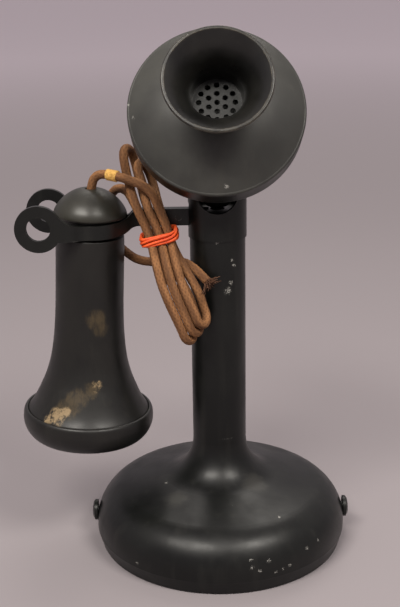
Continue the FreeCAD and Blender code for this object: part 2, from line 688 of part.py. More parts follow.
def receiver_tail_cap():
    rim, top, dome = S.tail_cap_radius, S.tail_cap_height, 13.5
    hole, socket, socket_top = S.cord_radius + 0.2, PLUG_RADIUS + 0.05, PLUG_TOP + 0.05
    cap = turned_body("receiver_tail_cap", [
        (socket, 0), (rim - 1.0, 0), (rim, 1.4), (rim, 2.0, ccw(dome)), (rim - dome, top), (hole, top),
        (hole, socket_top), (socket, socket_top)])
    return finished(cap, "receiver_tail_cap", RECEIVER)


def receiver_shell():
    seam, groove = -S.bell_end, -S.groove_length
    rim_end = seam - RIM_DEPTH
    hole, neck, bell = S.cord_radius + 0.3, S.neck_radius, S.bell_radius
    chamber, chamber_top, bore, bore_top, bore_end = 9.5, 6.5, 15.6, -14, -60
    shell = turned_body("receiver_shell", [
        (hole, chamber_top), (chamber, chamber_top), (chamber, bore_top + 5), (bore, bore_top),
        (bore, bore_end), BELL_BORE_TOP, BELL_BORE_END, (BELL_BORE_END[0], rim_end),
        (RIM_RADIUS, rim_end), (RIM_RADIUS, seam), (bell, seam, ccw(17.5)),
        (bell - 2.2, seam + 8.5, cw(37.7)), (25, -90, cw(87)), (neck + 0.2, -57), (neck, groove - 0.7),
        (neck - 0.7, groove), (S.groove_radius, groove), (S.groove_radius, 0), (PLUG_RADIUS, 0),
        (PLUG_RADIUS, PLUG_TOP), (hole, PLUG_TOP)])
    return finished(shell, "receiver_shell", RECEIVER)


def receiver_cap():
    seam, end = -S.bell_end, -S.ear_end
    top, clamp = seam - 0.05, seam - RIM_DEPTH - 0.45
    bore, room, hole, ear = RIM_RADIUS + 0.05, 27.5, S.ear_hole, S.ear_radius
    cap = turned_body("receiver_cap", [
        (bore, top), (bore, clamp), (room, clamp), (room, clamp - 1), (hole, clamp - 3.4),
        (hole, clamp - 6.4, cw(46)), (25.8, end), (29.6, end, ccw(9)), (ear - 1.2, seam - 9.5, ccw(12)),
        (ear, seam - 4.6, ccw(6)), (ear - 2.2, seam - 0.9), (S.bell_radius + 0.4, top)])
    return finished(cap, "receiver_cap", RECEIVER)


def receiver_works():
    rim_end = -S.bell_end.number - RIM_DEPTH
    diaphragm = turned_body("receiver_diaphragm", rectangle(0, rim_end - 0.42, 29.8, rim_end - 0.02))
    finished(diaphragm, "receiver_diaphragm", RECEIVER)
    leg_inner, leg_outer, leg_half, leg_end, yoke = 4.2, 7.8, 4.5, -98.0, -14.5
    magnet = padded_body("receiver_magnet", "XZ_Plane", [
        (-leg_outer, leg_end), (-leg_inner, leg_end), (-leg_inner, yoke - 4), (leg_inner, yoke - 4),
        (leg_inner, leg_end), (leg_outer, leg_end), (leg_outer, yoke), (-leg_outer, yoke)],
        2 * leg_half, 0, True)
    finished(magnet, "receiver_magnet", RECEIVER)
    between = rectangle(-leg_inner, -62, leg_inner, -52)
    spacer = padded_body("magnet_spacer", "XZ_Plane", between, 2 * leg_half, 0, True)
    finished(spacer, "magnet_spacer", RECEIVER)
    poles, coils = [], []
    half_thick, half_wide, pole_end = 1.7, 3.5, rim_end + 1.2
    plate_end, plate_top, fit = -100.6, -99.0, 0.03
    plate = turned_body("coil_plate", [
        (0, plate_end), (bell_bore(plate_end) - fit, plate_end), (bell_bore(plate_top) - fit, plate_top),
        (0, plate_top)])
    for number, side in enumerate((1, -1)):
        middle = side * (leg_inner + leg_outer) / 2
        foot = rectangle(middle - half_thick, -half_wide, middle + half_thick, half_wide)
        poles.append(padded_body("pole_%d" % number, "XY_Plane", foot, leg_end - pole_end, pole_end))
        cut_pocket(plate, "XY_Plane", rectangle(
            middle - half_thick - 0.05, -half_wide - 0.05, middle + half_thick + 0.05, half_wide + 0.05))
        coil = turned_body("coil_%d" % number, rectangle(0, -109.0, 5.7, plate_end - 0.05))
        cut_pocket(coil, "XY_Plane", rectangle(
            -half_thick - 0.05, -half_wide - 0.05, half_thick + 0.05, half_wide + 0.05))
        coils.append(moved_copy(coil, Placement(Vector(middle, 0, 0), Rotation())))
    finished(plate, "coil_plate", RECEIVER)
    finished(group(*poles), "pole_pieces", RECEIVER)
    finished(group(*coils), "receiver_coils", RECEIVER)


# Cord: a lead from the receiver, a hank of three turns tied below the lever, and a cut tail.

LEAD_RISE = (11.0, 20.0)
LEAD_REST = [(-61.0, -1.0, 208.8), (-49.5, -7.4, 209.4), (-43.8, -9.7, 207.7)]
HANK_ENTRY = [(-43.8, -9.7, 207.7), (-38.1, -12.0, 206.0), (-32.4, -12.2, 201.0)]
HANK_TURNS = 3
HANK_EXIT = [(-42.9, -6.3, 193.6), (-46.8, 1.0, 199.8), (-48.9, 5.5, 200.0)]
TAIL = [
    (-48.9, 5.5, 200.0), (-51.0, 10.0, 200.2), (-55.5, 19.0, 197.6), (-60.2, 25.4, 189.0),
    (-61.5, 26.4, 177.5), (-57.5, 23.0, 168.5), (-50.5, 16.0, 163.4), (-43.5, 7.0, 161.0),
    (-34.5, 0.6, 161.4), (-26.0, -2.6, 162.6), (-18.6, -5.4, 163.2), (-14.0, -11.6, 162.4),
    (-10.2, -15.8, 160.0), (-6.0, -18.4, 156.0)]


def hank_points():
    """The turns side by side: down the front, round the low fold, up the back, over the top."""
    points = list(HANK_ENTRY)
    for turn in range(HANK_TURNS):
        points += [
            (-29.2 - 7.5 * turn, -11.0 - 0.4 * turn, 194.5), (-25.8 - 6.0 * turn, -11.4, 183.5),
            (-23.6 - 5.8 * turn, -11.9, 174.8), (-21.6 - 5.7 * turn, -22.6, 167.6),
            (-17.8 - 5.5 * turn, -27.0 - 1.6 * turn, 153.5), (-11.0 - 4.4 * turn, -30.4, 138.0 - 6.0 * turn),
            (-5.8 - 4.6 * turn, -21.4, 136.0 - 6.0 * turn), (-10.0 - 6.0 * turn, -20.8, 150.5),
            (-17.8 - 6.1 * turn, -16.6, 163.5), (-23.6 - 5.8 * turn, -6.2, 172.0),
            (-26.2 - 6.0 * turn, -5.5, 182.0)]
        if turn < HANK_TURNS - 1:
            points += [
                (-30.4 - 6.6 * turn, -5.6, 194.0), (-33.6 - 7.2 * turn, 6.0 + 3.0 * turn, 203.0),
                (-37.0 - 7.6 * turn, 9.0 + 2.5 * turn, 211.5 + 7.5 * turn),
                (-41.6 - 7.2 * turn, 0.8, 213.0 + 7.5 * turn), (-39.0 - 7.5 * turn, -2.4, 205.5)]
    return points + HANK_EXIT


def vectors(points):
    return [Vector(*point) for point in points]


def rounded_route(points):
    """Straight runs joined by tangent arcs, each as large as its two runs allow."""
    edges, radii = [], []
    start = points[0]
    for before, corner, after in zip(points, points[1:], points[2:]):
        back, ahead = before - corner, after - corner
        reach = 0.45 * min(back.Length, ahead.Length)
        back.normalize()
        ahead.normalize()
        half_turn = (math.pi - back.getAngle(ahead)) / 2
        radius = reach / math.tan(half_turn)
        inward = (back + ahead).normalize()
        enter, leave = corner + back * reach, corner + ahead * reach
        middle = corner + inward * (radius / math.cos(half_turn) - radius)
        edges.append(Part.LineSegment(start, enter).toShape())
        edges.append(Part.Arc(enter, middle, leave).toShape())
        radii.append(radius)
        start = leave
    edges.append(Part.LineSegment(start, points[-1]).toShape())
    return Part.Wire(edges), radii


def tube(route, radius):
    start = route.Edges[0]
    ring = Part.Circle(start.valueAt(start.FirstParameter), start.tangentAt(start.FirstParameter), radius)
    return route.makePipeShell([Part.Wire([ring.toShape()])], True, False)


def least_gap(route, radius):
    """The least distance between the walls of stretches that lie further apart along the cord."""
    step = 1.2
    points = route.discretize(Distance=step)
    skip = int(7 * radius / step)
    pairs = ((i, j) for i in range(len(points)) for j in range(i + skip, len(points)))
    least = min((points[i] - points[j]).Length for i, j in pairs)
    return least - 2 * radius


def cord_piece(label, points, coiled=False):
    radius = S.cord_radius.number
    route, radii = rounded_route(points)
    solid = tube(route, radius)
    section = math.pi * radius ** 2 * route.Length
    print("%s length %.1f, volume ratio %.4f, radii %s" % (
        label, route.Length, solid.Volume / section, " ".join("%.1f" % each for each in radii)))
    if coiled:
        print("%s least gap to itself %.2f" % (label, least_gap(route, radius)))
    piece = document.addObject("Part::Feature", label + "_tube")
    piece.Shape = solid
    return finished(piece, label)


def cord():
    rise = [RECEIVER.multVec(Vector(0, 0, height)) for height in LEAD_RISE]
    lead = rise + vectors(LEAD_REST)
    cord_piece("cord_lead", lead)
    cord_piece("cord_hank", vectors(hank_points()), True)
    cord_piece("cord_tail", vectors(TAIL))
    return lead


def cord_binding(lead):
    """A sleeve on the straight part of the lead's long run."""
    start, end = lead[2], lead[3]
    along = end - start
    length = 6.6
    at = (start + end) * 0.5 - Vector(along).normalize() * (length / 2)
    ring = turned_body("cord_binding", [
        (S.cord_radius + 0.02, 0), (S.cord_radius + 0.6, 0), (S.cord_radius + 0.75, length / 2),
        (S.cord_radius + 0.6, length), (S.cord_radius + 0.02, length)])
    return finished(ring, "cord_binding", Placement(at, Rotation(Z_AXIS, along)))


def hank_band():
    """A stretched band round the six strands where they are drawn in."""
    height, thick, tilt = 3.0, 1.1, 13.0
    half_width, half_depth, bend = 10.0, 6.7, 3.0
    wide, deep = half_width + thick, half_depth + thick
    outer = rounded_rectangle(-wide, -deep, wide, deep, bend + thick)
    band = padded_body("hank_band", "XY_Plane", outer, height, 0, True)
    cut_pocket(band, "XY_Plane", rounded_rectangle(-half_width, -half_depth, half_width, half_depth, bend))
    middle_of_waist = Vector(-30.7, -9.0, 178.2)
    return finished(band, "hank_band", Placement(middle_of_waist, Rotation(Y_AXIS, -tilt)))


base_shell()
base_bottom()
base_side_screws()
base_terminals()
cord_bush()
column()
column_head()
tilt_screw_and_nut()
hook_leaf("hook_front_leaf", 1)
hook_leaf("hook_rear_leaf", -1)
hook_fittings()
lever_pivot()
hook_switch()
transmitter_cup()
faceplate()
mouthpiece()
mouthpiece_grille()
transmitter_works()
transmitter_bracket()
receiver_tail_cap()
receiver_shell()
receiver_cap()
receiver_works()
cord_binding(cord())
hank_band()

document.recompute()
for item in document.Objects:
    if "Invalid" in item.State or "Error" in item.State:
        raise RuntimeError("%s did not build: %s" % (item.Name, item.State))
os.makedirs("parts", exist_ok=True)
for part in sub_parts:
    if part.Shape.isNull() or not part.Shape.isValid():
        raise RuntimeError("%s is not a valid solid" % part.Label)
for part in sub_parts:
    part.Shape.exportStep(os.path.join("parts", part.Label + ".step"))
print("%d sub-parts written" % len(sub_parts))
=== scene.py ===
import json
import math
import random

import bpy
from mathutils import Matrix, Vector


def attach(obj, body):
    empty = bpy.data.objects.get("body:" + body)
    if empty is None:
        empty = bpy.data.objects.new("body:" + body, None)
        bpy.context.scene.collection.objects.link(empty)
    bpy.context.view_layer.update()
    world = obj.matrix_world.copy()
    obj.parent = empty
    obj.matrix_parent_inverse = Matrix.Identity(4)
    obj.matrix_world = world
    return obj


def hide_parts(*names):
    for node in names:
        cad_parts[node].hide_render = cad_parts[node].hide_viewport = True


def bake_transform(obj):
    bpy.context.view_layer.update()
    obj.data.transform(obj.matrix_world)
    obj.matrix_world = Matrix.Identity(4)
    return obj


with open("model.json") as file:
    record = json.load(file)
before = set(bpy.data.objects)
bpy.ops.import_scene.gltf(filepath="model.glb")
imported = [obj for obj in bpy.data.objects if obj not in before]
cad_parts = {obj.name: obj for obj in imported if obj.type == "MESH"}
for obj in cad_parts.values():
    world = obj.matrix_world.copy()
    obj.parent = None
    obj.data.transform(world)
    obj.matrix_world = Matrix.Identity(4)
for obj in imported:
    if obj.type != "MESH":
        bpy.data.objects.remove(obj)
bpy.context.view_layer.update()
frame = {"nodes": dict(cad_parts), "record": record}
MM = 0.001


# Camera: fitted to the base, column, face and receiver in the photograph.

PHOTO_SIZE = (400, 607)
FOCAL_PIXELS = 1100
SENSOR_WIDTH = 36
NEAR_CLIP = 0.01
CAMERA_PLACE = Vector((-9.9, -568.5, 320.1)) * MM
CAMERA_TARGET = Vector((-9.9, 0.0, 137.93)) * MM
CAMERA_ROLL = math.radians(-0.88)


def make_camera():
    camera = bpy.data.objects.new("camera", bpy.data.cameras.new("camera"))
    bpy.context.scene.collection.objects.link(camera)
    camera.data.sensor_width = SENSOR_WIDTH
    camera.data.lens = FOCAL_PIXELS / max(PHOTO_SIZE) * SENSOR_WIDTH
    camera.data.clip_start = NEAR_CLIP
    look = (CAMERA_TARGET - CAMERA_PLACE).to_track_quat("-Z", "Y").to_matrix().to_4x4()
    roll = Matrix.Rotation(CAMERA_ROLL, 4, "Z")
    camera.matrix_world = Matrix.Translation(CAMERA_PLACE) @ look @ roll
    bpy.context.scene.camera = camera


# Small builders that every piece uses.

SPLINE_RESOLUTION = 16


def add_mesh(name, points, faces):
    mesh = bpy.data.meshes.new(name)
    mesh.from_pydata([tuple(point) for point in points], [], faces)
    mesh.update()
    mesh.polygons.foreach_set("use_smooth", [True] * len(mesh.polygons))
    piece = bpy.data.objects.new(name, mesh)
    bpy.context.scene.collection.objects.link(piece)
    return piece


def smooth_line(points, step, closed=False):
    """Evenly spaced points on the NURBS spline that has these control points."""
    curve = bpy.data.curves.new("route", "CURVE")
    curve.dimensions = "3D"
    spline = curve.splines.new("NURBS")
    spline.points.add(len(points) - 1)
    for control, point in zip(spline.points, points):
        control.co = (*point, 1)
    spline.order_u = 3
    spline.use_endpoint_u = not closed
    spline.use_cyclic_u = closed
    curve.resolution_u = SPLINE_RESOLUTION
    holder = bpy.data.objects.new("route", curve)
    mesh = bpy.data.meshes.new_from_object(holder)
    line = [vertex.co.copy() for vertex in mesh.vertices]
    bpy.data.objects.remove(holder)
    bpy.data.curves.remove(curve)
    bpy.data.meshes.remove(mesh)
    if closed:
        line.append(line[0])
    return evenly(line, step)


def evenly(line, step):
    """Points about one step apart along a line of points, from its first to its last."""
    lengths = [0.0]
    for start, end in zip(line, line[1:]):
        lengths.append(lengths[-1] + (end - start).length)
    count = max(2, round(lengths[-1] / step))
    spaced = []
    segment = 0
    for index in range(count + 1):
        target = lengths[-1] * index / count
        while segment < len(line) - 2 and lengths[segment + 1] < target:
            segment += 1
        run = lengths[segment + 1] - lengths[segment]
        share = 0 if run == 0 else (target - lengths[segment]) / run
        spaced.append(line[segment].lerp(line[segment + 1], min(share, 1.0)))
    return spaced


def frames_along(line):
    """Two cross directions at each point, carried along the line without twist."""
    last = len(line) - 1
    tangents = []
    for index in range(len(line)):
        tangents.append((line[min(index + 1, last)] - line[max(index - 1, 0)]).normalized())
    side = tangents[0].orthogonal().normalized()
    found = []
    for tangent in tangents:
        side = (side - tangent * side.dot(tangent)).normalized()
        found.append((side, tangent.cross(side)))
    return found


def sweep(name, line, sides, radius_at):
    """A closed tube along a line; radius_at(distance, angle) gives its surface."""
    points, faces = [], []
    distance = 0.0
    for index, (centre, (side, up)) in enumerate(zip(line, frames_along(line))):
        if index:
            distance += (centre - line[index - 1]).length
        for number in range(sides):
            angle = math.tau * number / sides
            out = side * math.cos(angle) + up * math.sin(angle)
            points.append(centre + out * radius_at(distance, angle))
    for ring in range(len(line) - 1):
        for number in range(sides):
            following = (number + 1) % sides
            faces.append((ring * sides + number, ring * sides + following,
                          (ring + 1) * sides + following, (ring + 1) * sides + number))
    faces.append(tuple(reversed(range(sides))))
    faces.append(tuple(range((len(line) - 1) * sides, len(line) * sides)))
    return add_mesh(name, points, faces)


# Receiver: a turned handle that flares to the ear cap, and a low domed tail cap.

LEAN = math.radians(3)
RECEIVER_SEAT = Vector((-67.2, 0, 187.6))
RECEIVER_UP = Vector((math.sin(LEAN), 0, math.cos(LEAN)))
TURNED_SIDES = 128
TURNED_STEP = 0.45 * MM
HANDLE_OUTLINE = [
    (1.0, -0.1), (15.4, -0.1), (15.4, -0.1), (15.4, -9.9), (15.4, -9.9), (17.7, -9.9), (18.3, -10.6),
    (18.3, -30.0), (18.4, -57.0), (20.2, -77.0), (23.4, -89.0), (26.2, -95.5), (28.4, -100.5),
    (30.8, -105.0), (33.3, -108.4), (33.3, -108.4), (33.3, -111.4), (33.3, -111.4), (1.0, -111.4)]
EAR_CAP_OUTLINE = [
    (33.35, -112.4), (33.35, -108.9), (33.5, -108.0), (34.6, -107.9), (35.6, -109.2), (36.0, -112.0),
    (36.0, -115.4), (34.6, -119.6), (31.6, -123.4), (28.4, -124.5), (25.8, -124.5), (25.8, -124.5),
    (16.0, -121.6), (5.5, -118.9), (5.5, -118.9), (5.5, -115.9), (5.5, -115.9), (27.5, -113.4),
    (27.5, -112.5), (27.5, -112.5)]
TAIL_DOME_OUTLINE = [
    (2.9, 0.0), (2.9, 0.0), (2.9, 14.7), (2.9, 14.7), (5.2, 14.9), (9.8, 13.2), (14.8, 9.6), (18.1, 5.4),
    (19.4, 2.4), (19.5, 0.8), (18.4, 0.0), (18.4, 0.0)]
TURNED_PIECES = [
    ("receiver_handle", HANDLE_OUTLINE, False, "receiver_shell"),
    ("receiver_ear_cap", EAR_CAP_OUTLINE, True, "receiver_cap"),
    ("receiver_tail_dome", TAIL_DOME_OUTLINE, True, "receiver_tail_cap")]


def turned(name, outline, closed):
    """The outline's (radius, height) points, turned about the receiver's axis.

    A closed outline makes a ring, and an open one a solid with flat ends.
    """
    profile = [Vector((radius, 0, height)) * MM for radius, height in outline]
    line = smooth_line(profile, TURNED_STEP, closed)
    if closed:
        line = line[:-1]
    across = Vector((RECEIVER_UP.z, 0, -RECEIVER_UP.x))
    ahead = Vector((0, 1, 0))
    points, faces = [], []
    for place in line:
        middle = RECEIVER_SEAT * MM + RECEIVER_UP * place.z
        for number in range(TURNED_SIDES):
            angle = math.tau * number / TURNED_SIDES
            out = across * math.cos(angle) + ahead * math.sin(angle)
            points.append(middle + out * place.x)
    rings = len(line)
    for ring in range(rings if closed else rings - 1):
        below = (ring + 1) % rings
        for number in range(TURNED_SIDES):
            following = (number + 1) % TURNED_SIDES
            faces.append((ring * TURNED_SIDES + number, below * TURNED_SIDES + number,
                          below * TURNED_SIDES + following, ring * TURNED_SIDES + following))
    if not closed:
        faces.append(tuple(range(TURNED_SIDES)))
        faces.append(tuple(reversed(range((rings - 1) * TURNED_SIDES, rings * TURNED_SIDES))))
    return add_mesh(name, points, faces)


def dress_receiver():
    pieces = []
    for name, outline, closed, node in TURNED_PIECES:
        piece = turned(name, outline, closed)
        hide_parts(node)
        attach(piece, "receiver")
        pieces.append(piece)
    return pieces


# Cord: one braided cotton cord from the receiver's tail cap, through a tied hank, to a frayed end.

CORD_RADIUS = 2.4 * MM
CORD_SIDES = 40
CORD_STEP = 0.5 * MM
LEAD = [
    RECEIVER_SEAT + RECEIVER_UP * 11.0, (-65.6, -0.1, 205.2), (-63.5, -0.6, 208.9),
    (-59.4, -2.1, 210.5), (-49.5, -7.4, 209.4), (-43.8, -9.7, 207.7)]
HANK_ENTRY = [(-38.1, -12.0, 206.0), (-32.9, -12.4, 201.0)]
HANK_TURNS = 3
HANK_EXIT = [(-42.4, -6.3, 193.6), (-46.8, 1.0, 199.8)]
TAIL = [
    (-48.9, 5.5, 200.0), (-51.0, 10.0, 200.2), (-55.5, 19.0, 197.6), (-60.2, 25.4, 189.0),
    (-61.5, 26.4, 177.5), (-57.5, 23.0, 168.5), (-50.5, 16.0, 163.4), (-43.5, 7.0, 161.0),
    (-34.5, 0.6, 161.4), (-26.0, -2.6, 162.6), (-18.6, -5.4, 163.2), (-14.0, -11.6, 162.4),
    (-10.2, -15.8, 160.0), (-6.0, -18.4, 156.0)]
BRAID_STRANDS = 7
BRAID_PITCH = 3.4 * MM
BRAID_DEPTH = 0.10 * MM
STREAK_PITCH = 90 * MM
STREAK_WAVES = [(0.32, 2, 1.0), (0.18, 5, -1.7)]


def hank_points():
    """The turns side by side: down the front, round the low fold, up the back, over the top."""
    points = list(HANK_ENTRY)
    for turn in range(HANK_TURNS):
        left = turn - 1
        points += [
            (-36.7 - 5.6 * left, -11.0 - 0.4 * turn, 194.5),
            (-31.8 - 5.3 * left, -11.4, 183.5),
            (-29.4 - 5.2 * left, -11.9, 174.8),
            (-27.3 - 5.1 * left, -22.6, 167.6),
            (-23.3 - 5.1 * left, -27.0 - 1.2 * turn, 153.5),
            (-16.0 - 3.4 * left, -30.6, 142.0 - 4.4 * turn),
            (-14.6 - 3.4 * left, -30.6, 137.5 - 4.4 * turn),
            (-12.1 - 3.4 * left, -28.1, 135.0 - 4.4 * turn),
            (-10.3 - 3.5 * left, -24.2, 135.4 - 4.4 * turn),
            (-10.2 - 3.6 * left, -21.1, 138.5 - 4.4 * turn),
            (-11.9 - 3.8 * left, -20.8, 142.5 - 4.4 * turn),
            (-16.0 - 5.8 * left, -20.8, 150.5),
            (-23.9 - 5.7 * left, -16.6, 163.5),
            (-29.4 - 5.3 * left, -6.2, 172.0),
            (-32.2 - 5.4 * left, -5.5, 182.0)]
        if turn < HANK_TURNS - 1:
            points += [
                (-30.9 - 6.3 * turn, -5.6, 194.0),
                (-33.6 - 7.2 * turn, 6.0 + 3.0 * turn, 203.0),
                (-36.6 - 7.6 * turn, 9.4 + 2.5 * turn, 210.5 + 7.5 * turn),
                (-39.6 - 7.4 * turn, 5.6 + 1.2 * turn, 215.4 + 7.5 * turn),
                (-41.9 - 7.2 * turn, -0.1, 213.2 + 7.5 * turn),
                (-39.0 - 7.2 * turn, -2.4, 205.5)]
    return points + HANK_EXIT


def braid_height(distance, angle):
    """The crossing strands of a round braid, from -1 in a groove to 1 on a strand."""
    along = math.tau * distance / BRAID_PITCH
    around = BRAID_STRANDS * angle
    return max(math.cos(around + along), math.cos(around - along))


def streak(distance, angle):
    """Faded and darker lengthwise streaks that wind slowly round the cord, from 0 to 1."""
    wind = math.tau * distance / STREAK_PITCH
    value = 0.5
    for share, count, speed in STREAK_WAVES:
        value += share * math.cos(count * angle + speed * wind)
    return value


def make_cord():
    """The cord's braided tube, with its braid and streaks kept for the material, and its centreline."""
    route = [Vector(point) * MM for point in LEAD + hank_points() + TAIL]
    line = smooth_line(route, CORD_STEP)
    cord = sweep("receiver_cord", line, CORD_SIDES,
                 lambda s, a: CORD_RADIUS + BRAID_DEPTH * (braid_height(s, a) - 1))
    angles = [math.tau * side / CORD_SIDES for side in range(CORD_SIDES)]
    for name, value_at in (("braid", braid_height), ("streak", streak)):
        values = []
        for ring in range(len(line)):
            values += [value_at(ring * CORD_STEP, angle) for angle in angles]
        cord.data.attributes.new(name, "FLOAT", "POINT").data.foreach_set("value", values)
    return cord, line


BINDING_REACH = 60 * MM
BINDING_TURNS = 9
BINDING_STEPS = 8
BINDING_HALF = 3.3 * MM
BINDING_LIFT = 0.3 * MM
BINDING_THREAD = 0.32 * MM
BINDING_SIDES = 32


def make_binding(line):
    """Close turns of thread wound round the lead."""
    middle = (Vector(LEAD[3]) + Vector(LEAD[4])) / 2 * MM
    lead = line[:round(BINDING_REACH / CORD_STEP)]
    centre = min(lead, key=lambda point: (point - middle).length)
    covered = [point for point in lead if (point - centre).length < BINDING_HALF]
    length = sum((b - a).length for a, b in zip(covered, covered[1:]))
    fine = evenly(covered, length / (BINDING_TURNS * BINDING_STEPS))

    def surface(distance, angle):
        wave = math.tau * BINDING_TURNS * distance / length - angle
        return CORD_RADIUS + BINDING_LIFT + BINDING_THREAD * abs(math.cos(wave / 2))

    return sweep("binding_thread", fine, BINDING_SIDES, surface)


BAND_CENTRE = Vector((-30.7, -9.0, 178.2)) * MM
BAND_TILT = math.radians(-13)
BAND_HALF = (9.3 * MM, 6.9 * MM)
BAND_CORNER = 0.45
BAND_TURNS = 6
BAND_TWISTS = 5
BAND_SPREAD = 2.05 * MM
BAND_LAYER = 0.62 * MM
BAND_SLANT = 0.5 * MM
BAND_RADIUS = 0.72 * MM
BAND_POINTS = 48
BAND_STEP = 0.5 * MM
BAND_SIDES = 10


def rounded(value):
    """A cosine or sine pushed towards its ends, so that a circle becomes a rounded rectangle."""
    return math.copysign(abs(value) ** BAND_CORNER, value)


def make_band():
    """A rubber band drawn round the waist of the hank: its turns lie in one flat twisted bundle."""
    tilt = Matrix.Rotation(BAND_TILT, 3, "Y")
    points = []
    for index in range(BAND_TURNS * BAND_POINTS):
        angle = math.tau * index / BAND_POINTS
        twist = angle * BAND_TWISTS / BAND_TURNS
        layer = BAND_LAYER * math.cos(twist)
        x = (BAND_HALF[0] + layer) * rounded(math.cos(angle))
        y = (BAND_HALF[1] + layer) * rounded(math.sin(angle))
        z = BAND_SPREAD * math.sin(twist) + BAND_SLANT * math.sin(angle)
        points.append(BAND_CENTRE + tilt @ Vector((x, y, z)))
    line = evenly(points + [points[0]], BAND_STEP)
    return sweep("band_turns", line, BAND_SIDES, lambda s, a: BAND_RADIUS)


FIBRES = 110
FIBRE_SEED = 7
FIBRE_RADIUS = 0.15 * MM
FIBRE_SIDES = 5
FIBRE_STEP = 0.7 * MM
FIBRE_SPREAD = (0.1, 1.3)
FIBRE_ROOTS = (0.1, 0.85)
# In millimetres, scaled where they are used.
FIBRE_LENGTH = (2.2, 5.2)
FIBRE_SUNK = 0.8
FIBRE_CURL = 0.9
# A fibre's control points: shares of its length along, of its spread outwards and of its curl.
FIBRE_SHAPE = [(0.0, 0.0, 0), (0.4, 0.15, 0), (0.7, 0.6, 1), (0.95, 1.0, 0)]


def make_frayed_end(line):
    """Loose cotton ends that fan out from the cut end of the cord."""
    rng = random.Random(FIBRE_SEED)
    end = line[-1]
    along = (line[-1] - line[-4]).normalized()
    side = along.orthogonal().normalized()
    up = along.cross(side)
    points, faces = [], []
    for _ in range(FIBRES):
        angle = rng.uniform(0, math.tau)
        out = side * math.cos(angle) + up * math.sin(angle)
        spread = rng.uniform(*FIBRE_SPREAD)
        length = rng.uniform(*FIBRE_LENGTH) * MM
        root = end - along * FIBRE_SUNK * MM + out * CORD_RADIUS * rng.uniform(*FIBRE_ROOTS)
        curl = (side * rng.uniform(-1, 1) + up * rng.uniform(-1, 1)) * FIBRE_CURL * MM
        controls = []
        for ahead, outwards, curled in FIBRE_SHAPE:
            point = root + along * length * ahead + out * length * outwards * spread
            controls.append(point + curl * curled)
        strand = smooth_line(controls, FIBRE_STEP)
        fibre = sweep("fibre", strand, FIBRE_SIDES, lambda s, a: FIBRE_RADIUS)
        base = len(points)
        points += [vertex.co.copy() for vertex in fibre.data.vertices]
        faces += [tuple(base + index for index in face.vertices) for face in fibre.data.polygons]
        mesh = fibre.data
        bpy.data.objects.remove(fibre)
        bpy.data.meshes.remove(mesh)
    return add_mesh("frayed_end", points, faces)


def dress_cord():
    """The cord and what is on it. Past the binding, the lead goes over from the receiver to the hank."""
    cord, line = make_cord()
    binding = make_binding(line)
    band = make_band()
    tuft = make_frayed_end(line)
    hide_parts("cord_lead", "cord_hank", "cord_tail")
    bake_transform(cord)
    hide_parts("cord_binding")
    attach(binding, "receiver")
    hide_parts("hank_band")
    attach(band, "hook_lever")
    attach(tuft, "hook_lever")
    return cord, binding, band, tuft


# Materials, each from nodes on the object's own coordinates.

EDGE_SAMPLES = 6
EDGE_FLAT = 0.995
EDGE_SHARP = 0.90
PATCH_RIM = 0.3


